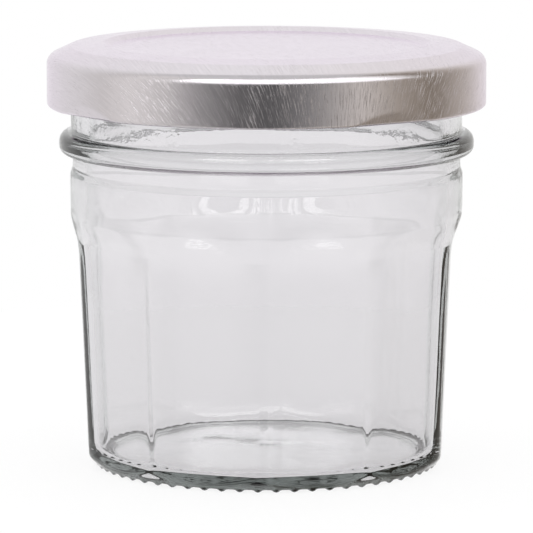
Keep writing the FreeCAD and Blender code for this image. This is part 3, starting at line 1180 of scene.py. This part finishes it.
@dataclass
class Studio:
    """The floor, the light tent, the lamps and the camera."""

    floor_radius: float = 0.20
    floor_depth: float = 12 * MM
    floor_columns: int = 96
    camera_aim: float = radians(2.8)
    camera_distance: float = 0.95
    camera_height: float = 178.1 * MM
    camera_pitch: float = radians(8.35)
    lens: float = 330.9
    sensor: float = 36.0
    bounces: int = 24
    mirror_bounces: int = 12
    # the large soft box over the camera's side, the two windows in it, and the dim ceiling
    box: SkyPatch = SkyPatch((-45, 80), 18, (16, 63), 5)
    box_level: float = 1.25
    windows: tuple[SkyPatch, ...] = (
        SkyPatch((-44, -14), 4, (34, 50), 3),
        SkyPatch((10, 44), 4, (34, 50), 3),
    )
    window_level: float = 3.0
    # the same windows as the glass shows them, with their glow down the wall
    panes: tuple[SkyPatch, ...] = (
        SkyPatch((-42, -11), 3, (11, 50), 4),
        SkyPatch((5, 40), 3, (11, 50), 4),
    )
    pane_level: float = 3.5
    overhead: tuple[float, float] = (radians(56), radians(66))
    overhead_level: float = 0.60
    # the backdrop, its fall-off towards the table, and the dark room above it, for what looks out
    # through the glass
    backdrop: tuple[float, float, float] = (0.985, 0.965, 0.99)
    falloff: tuple[float, float] = (radians(-10.2), radians(-6.8))
    falloff_level: float = 0.88
    dark_room: tuple[float, float] = (radians(10), radians(24))
    dark_level: float = 0.76
    # what lights the floor
    plain_level: float = 1.30
    # how much of the warmth green takes on, and the tent round the jar: degrees from the camera's side
    # to the right, brightness, warmth
    green_share: float = 0.45
    tent: tuple[tuple[float, float, float], ...] = (
        (-180, 0.91, 0.0),
        (-115, 0.72, 0.02),
        (-95, 0.62, 0.05),
        (-76, 0.76, 0.05),
        (-52, 0.56, 0.05),
        (-36, 0.30, 0.03),
        (-15, 0.12, 0.03),
        (5, 0.092, 0.0),
        (25, 0.24, 0.02),
        (50, 0.66, 0.12),
        (72, 0.35, 0.25),
        (97, 0.19, 0.35),
        (125, 0.50, 0.18),
        (150, 0.82, 0.06),
        (180, 0.91, 0.0),
    )

    def build(self) -> None:
        """Makes everything round the object."""
        self.make_floor()
        self.make_world()
        self.make_camera()
        settings = bpy.context.scene
        settings.view_settings.view_transform = "Standard"
        settings.cycles.max_bounces = self.bounces
        settings.cycles.transmission_bounces = self.bounces
        settings.cycles.glossy_bounces = self.mirror_bounces

    def make_floor(self) -> None:
        """Makes the round table top."""
        edge, foot = self.floor_radius, -self.floor_depth
        outline = [(0.0, foot), (edge, foot), (edge, 0.0), (0.0, 0.0)]
        floor = linked_object("floor", turned_mesh("floor", outline, self.floor_columns))
        for face in floor.data.polygons:
            face.use_smooth = False
        floor.data.materials.append(PaleFloor().material())
        floor.visible_glossy = False

    def make_world(self) -> None:
        """Makes the light tent: white for the camera, brighter above, darker on the camera's side."""
        world = bpy.data.worlds.new("light_tent")
        bpy.context.scene.world = world
        world.use_nodes = True
        world.node_tree.nodes.clear()
        bench = Bench(world.node_tree)
        way = bench.node("ShaderNodeTexCoord").outputs["Generated"]
        across, along, up = bench.parts(way)
        round_way = bench.math("ARCTAN2", across, 0.0 - along) - self.camera_aim
        turn = bench.math("WRAP", round_way, pi, -pi) / (2 * pi) + 0.5
        ramp = bench.node("ShaderNodeValToRGB")
        bench.feed(ramp.inputs[0], turn)
        stops = ramp.color_ramp.elements
        while len(stops) > 1:
            stops.remove(stops[-1])
        for place, (angle, level, warmth) in enumerate(self.tent):
            stop = stops[0] if place == 0 else stops.new(angle / 360 + 0.5)
            stop.position = angle / 360 + 0.5
            green, blue = 1 - self.green_share * warmth, 1 - warmth
            stop.color = (level, level * green, level * blue, 1)
        rise = bench.math("ARCSINE", up)
        box = self.patch(bench, turn, rise, self.box)
        left, right = (self.patch(bench, turn, rise, shape) for shape in self.windows)
        window = (left + right) * self.window_level
        left, right = (self.patch(bench, turn, rise, shape) for shape in self.panes)
        pane = (left + right) * self.pane_level
        over = bench.ease(rise, *self.overhead)
        rays = bench.node("ShaderNodeLightPath").outputs
        glossy, through = Term(bench, rays["Is Glossy Ray"]), Term(bench, rays["Is Transmission Ray"])
        mirrored = glossy * (1.0 - through)
        dim = bench.ease(rise, *self.dark_room)
        sweep = bench.blend(bench.ease(rise, *self.falloff), self.falloff_level, 1.0)
        levels = []
        for tent, backdrop in zip(bench.parts(ramp.outputs[0]), self.backdrop):
            low = bench.blend(over, tent, self.overhead_level)
            behind = bench.blend(dim, sweep * backdrop, self.dark_level)
            lamps = [bench.blend(box, level, self.box_level) for level in (low, behind)]
            plain = (1.0 - glossy) * self.plain_level
            plain = bench.blend(Term(bench, rays["Is Camera Ray"]), plain, 1.0)
            lit = (lamps[0] + window) * mirrored + (lamps[1] + pane) * through
            levels.append(plain * (1.0 - through) + lit)
        shader = bench.node("ShaderNodeBackground")
        bench.fill(shader, Color=bench.vector(*levels), Strength=1.0)
        bench.feed(bench.node("ShaderNodeOutputWorld").inputs["Surface"], shader.outputs[0])
        world.cycles.sampling_method = "NONE"

    def patch(self, bench: Bench, turn: Term, rise: Term, shape: SkyPatch) -> Term:
        """Marks out a soft-edged oblong of the sky.

        Args:
            bench: The bench of the world's tree.
            turn: Angle from the camera's side, as a share of a full turn about one half.
            rise: Height angle.
            shape: Where the oblong lies.

        Returns:
            One inside the oblong and nought outside it.
        """
        inside = None
        for value, (low, high), soft in (
            ((turn - 0.5) * (2 * pi), shape.turns, shape.turn_edge),
            (rise, shape.rises, shape.rise_edge),
        ):
            start = bench.ease(value, radians(low - soft), radians(low + soft))
            end = bench.ease(value, radians(high + soft), radians(high - soft))
            inside = start * end if inside is None else inside * start * end
        return inside

    def make_camera(self) -> None:
        """Makes the camera: a long lens from the front, a little above the lid."""
        camera = linked_object("camera", bpy.data.cameras.new("camera"))
        camera.data.lens = self.lens
        camera.data.sensor_width = self.sensor
        camera.data.clip_start, camera.data.clip_end = 0.05, 20.0
        camera.location = (
            sin(self.camera_aim) * self.camera_distance,
            -cos(self.camera_aim) * self.camera_distance,
            self.camera_height,
        )
        camera.rotation_euler = (pi / 2 - self.camera_pitch, 0, self.camera_aim)
        bpy.context.scene.camera = camera


def main() -> None:
    """Builds the jar, the lid and the studio."""
    logging.basicConfig(level=logging.INFO, format="%(name)s: %(message)s")
    for piece in (GlassJar().build(), TwistLid().build()):
        LOG.info("%s: %d faces", piece.name, len(piece.data.polygons))
    Studio().build()


if __name__ == "__main__":
    main()
